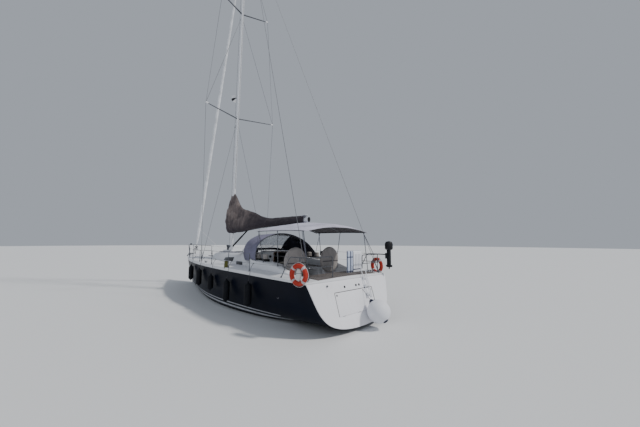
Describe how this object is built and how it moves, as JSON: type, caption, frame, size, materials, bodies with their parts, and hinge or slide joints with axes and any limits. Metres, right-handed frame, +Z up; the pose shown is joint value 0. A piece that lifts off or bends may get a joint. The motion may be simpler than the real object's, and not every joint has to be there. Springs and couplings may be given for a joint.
{
  "type": "sailing yacht",
  "caption": "Keeled sailing yacht afloat under bare poles, with aft cockpit, twin wheels, fold-down stern platform, sprayhood, bimini and furled sails.",
  "frame": {"origin": "centreline on the waterline, halfway along the hull's fitted length (7.1 m ahead of the transom's top edge)", "axes": "+X forward to the bow, +Y to port, +Z up to the masthead"},
  "size_m": [15.7044, 4.6241, 23.39],
  "materials": {
    "hull_paint": "gloss dark navy with pale stripes, antifouling below the water",
    "gelcoat": "off-white gelcoat, satin where moulded with grip",
    "tinted_window": "smoked acrylic",
    "teak": "weathered grey-brown teak planks with dark caulking",
    "antifouling": "matt dark antifouling paint",
    "cast_alloy": "painted cast alloy",
    "bronze": "propeller bronze",
    "stainless": "polished stainless steel",
    "spar_alloy": "clear anodised aluminium",
    "canvas_taupe": "taupe acrylic canvas, creased",
    "canvas_lilac": "pale grey-lilac acrylic canvas",
    "clear_vinyl": "clear flexible vinyl",
    "sailcloth": "white sailcloth, rolled",
    "buoy_foam": "orange-red foam in a fabric cover with white bands",
    "fender_black": "navy-black inflatable vinyl",
    "fender_white": "white inflatable vinyl with a dark blue cap",
    "striped_fabric": "white fabric with blue stripes"
  },
  "bodies": {
    "root": {"hull": "hull_paint", "deck": "gelcoat", "transom": "gelcoat", "coachroof": "gelcoat", "window_port": "tinted_window", "window_starboard": "tinted_window", "coaming_port": "gelcoat", "coaming_starboard": "gelcoat", "teak_sole": "teak", "teak_seat_port": "teak", "teak_seat_starboard": "teak", "teak_aft_deck": "teak", "keel": "antifouling", "drive_leg": "cast_alloy", "pedestal_port": "gelcoat", "pedestal_starboard": "gelcoat", "winches_port": "stainless", "winches_starboard": "stainless", "cockpit_table": "teak", "mast": "spar_alloy", "lower_spreaders": "spar_alloy", "upper_spreaders": "spar_alloy", "mast_cover": "canvas_taupe", "forestay": "stainless", "furled_headsail": "sailcloth", "shrouds_port": "stainless", "shrouds_starboard": "stainless", "backstays": "stainless", "pulpit": "stainless", "pushpit_port": "stainless", "guardrail_port": "stainless", "pushpit_starboard": "stainless", "guardrail_starboard": "stainless", "sprayhood": "canvas_lilac", "sprayhood_window": "clear_vinyl", "bimini": "canvas_lilac", "bimini_frame": "stainless", "lifebuoy_port": "buoy_foam", "lifebuoy_starboard": "buoy_foam", "outboard": "gelcoat", "fender_1": "fender_black", "fender_2": "fender_black", "fender_3": "fender_black", "fender_4": "fender_black", "fender_5": "fender_black", "anchor": "stainless", "striped_cushion": "striped_fabric"},
    "boom": {"boom": "spar_alloy", "vang": "spar_alloy", "boom_cover": "canvas_taupe"},
    "rudder": {"rudder": "antifouling"},
    "wheel_port": {"wheel_port": "stainless", "wheel_cover_port": "canvas_taupe"},
    "wheel_starboard": {"wheel_starboard": "stainless", "wheel_cover_starboard": "canvas_taupe"},
    "propeller": {"propeller": "bronze"},
    "bathing_platform": {"bathing_platform": "gelcoat"},
    "ball_fender": {"ball_fender": "fender_white"},
    "companion_hatch": {"companion_hatch": "tinted_window"},
    "fore_hatch": {"fore_hatch": "tinted_window"}
  },
  "joints": [
    {"name": "boom_swing", "type": "hinge", "parent": "root", "child": "boom", "pos_m": [1.0203, 0, 3.45], "axis": [-0.026, 0, 0.9997], "range_deg": [-65, 65]},
    {"name": "rudder_turn", "type": "hinge", "parent": "root", "child": "rudder", "pos_m": [-5.92, 0, -0.5], "axis": [0, 0, 1], "range_deg": [-35, 35]},
    {"name": "wheel_port_turn", "type": "hinge", "parent": "root", "child": "wheel_port", "pos_m": [-5.28, 0.87, 2.04], "axis": [1, 0, 0], "range_deg": [-281, 281]},
    {"name": "wheel_starboard_turn", "type": "hinge", "parent": "root", "child": "wheel_starboard", "pos_m": [-5.28, -0.87, 2.04], "axis": [1, 0, 0], "range_deg": [-281, 281]},
    {"name": "propeller_spin", "type": "hinge", "parent": "root", "child": "propeller", "pos_m": [-2.42, 0, -0.96], "axis": [1, 0, 0], "continuous": true},
    {"name": "platform_fold", "type": "hinge", "parent": "root", "child": "bathing_platform", "pos_m": [-7.4491, 0, 0.532], "axis": [0, -1, 0], "range_deg": [0, 107]},
    {"name": "fender_hang", "type": "hinge", "parent": "bathing_platform", "child": "ball_fender", "pos_m": [-7.2663, -0.43, 1.1547], "axis": [0, 1, 0], "range_deg": [0, 107]},
    {"name": "hatch_slide", "type": "slide", "parent": "root", "child": "companion_hatch", "axis": [0.9992, 0, -0.04], "range_m": [0, 0.6]},
    {"name": "fore_hatch_lift", "type": "hinge", "parent": "root", "child": "fore_hatch", "pos_m": [3.5, 0, 1.868], "axis": [0, 1, 0], "range_deg": [0, 95]}
  ],
  "couplings": [
    {"joint": "wheel_port_turn", "follows": "rudder_turn", "ratio": 8},
    {"joint": "wheel_starboard_turn", "follows": "rudder_turn", "ratio": 8},
    {"joint": "fender_hang", "follows": "platform_fold", "ratio": 1}
  ]
}
